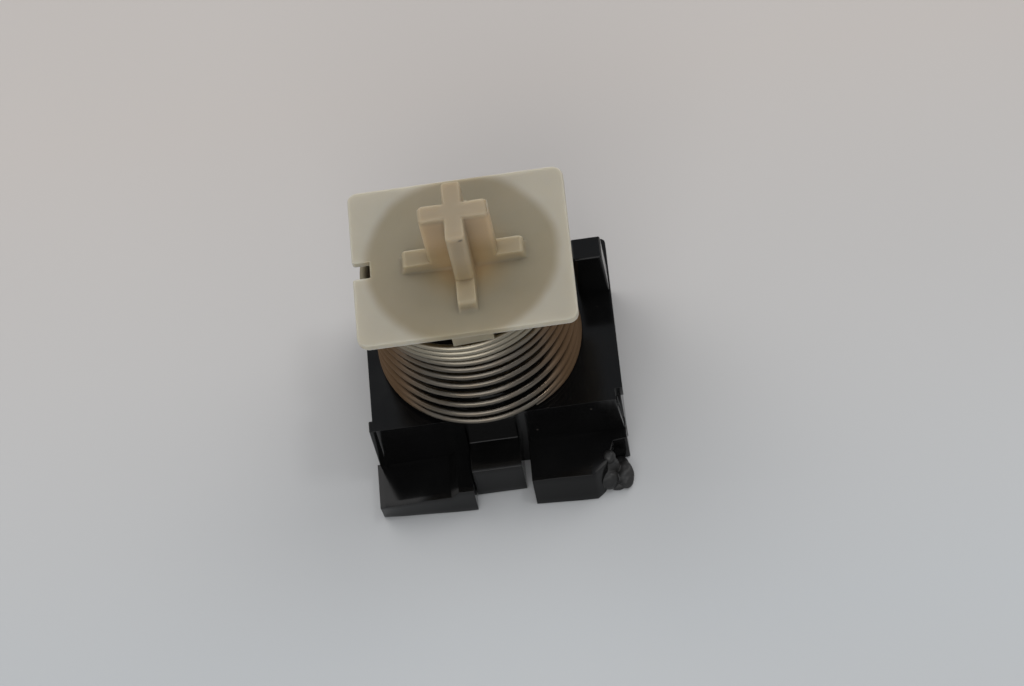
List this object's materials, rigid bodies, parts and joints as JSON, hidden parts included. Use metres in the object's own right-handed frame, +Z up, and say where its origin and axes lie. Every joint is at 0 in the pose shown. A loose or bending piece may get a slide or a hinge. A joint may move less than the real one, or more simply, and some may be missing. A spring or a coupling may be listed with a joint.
{
  "type": "keyboard switch",
  "caption": "Square key module with a black moulded housing on two front legs, a translucent flanged plunger with a cross-shaped post, and a wide coiled return spring.",
  "frame": {"origin": "middle of the footprint, on the surface the module stands on", "axes": "+Z up along the plunger's travel, -Y towards the two front legs, +X to the right seen from the front"},
  "size_m": [0.0195, 0.0186, 0.0269],
  "materials": {
    "black_moulding": "black moulded plastic, smooth and slightly shiny",
    "natural_moulding": "undyed milky plastic that lets light through",
    "spring_wire": "drawn steel wire, warm grey",
    "spring_strip": "rolled spring steel",
    "pressed_sheet": "pressed steel sheet",
    "conductive_moulding": "carbon-filled black plastic, matt"
  },
  "bodies": {
    "housing": {"housing": "black_moulding", "return_spring": "spring_wire"},
    "plunger": {"plunger": "natural_moulding"},
    "rocker": {"fly_plate": "conductive_moulding", "spring_plate": "pressed_sheet", "beam_spring": "spring_strip"}
  },
  "joints": [
    {"name": "plunger_slide", "type": "slide", "parent": "housing", "child": "plunger", "axis": [0, 0, -1], "range_m": [0, 0.004], "stiffness_N_per_m": 75, "springref_m": -0.0053, "deforming": ["return_spring", "beam_spring"]},
    {"name": "fly_plate_hinge", "type": "hinge", "parent": "housing", "child": "rocker", "pos_m": [0, 0.00588, 0.00085], "axis": [-1, 0, 0], "range_deg": [0, 7]}
  ],
  "couplings": [
    {"joint": "fly_plate_hinge", "follows": "plunger_slide", "rad_per_m": 30.54}
  ]
}
